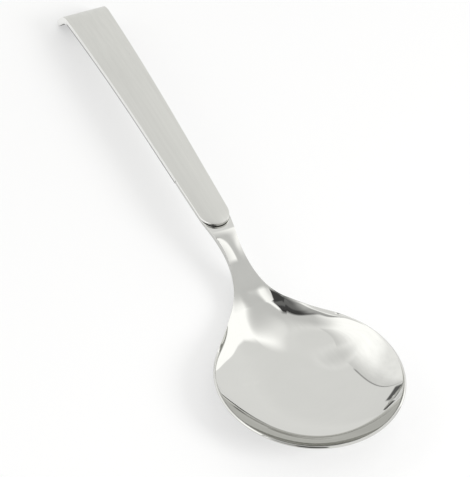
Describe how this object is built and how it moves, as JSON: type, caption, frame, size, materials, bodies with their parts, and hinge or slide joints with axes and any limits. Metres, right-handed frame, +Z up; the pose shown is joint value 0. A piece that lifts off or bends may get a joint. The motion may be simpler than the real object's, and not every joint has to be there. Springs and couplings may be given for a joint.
{
  "type": "pizza sauce spoon",
  "caption": "Long serving spoon for pizza sauce: shallow oval polished bowl, a slim neck that climbs from it and a satin strip handle with a turned-down end.",
  "frame": {"origin": "on the small flat underside of the bowl's floor, straight below the middle of the rim's oval, at table height", "axes": "+X along the spoon from the bowl to the handle's turned-down end, +Y to the left seen from the bowl's tip towards the handle, +Z up, out of the bowl"},
  "size_m": [0.281, 0.068, 0.0158],
  "materials": {
    "polished_steel": "mirror-polished stainless steel",
    "satin_steel": "fine satin stainless steel, brushed along the strip",
    "weld_steel": "bare fused steel, hidden in the lap"
  },
  "bodies": {
    "root": {"bowl": "polished_steel", "handle": "satin_steel", "weld_front": "weld_steel", "weld_middle": "weld_steel", "weld_rear": "weld_steel"}
  },
  "joints": []
}
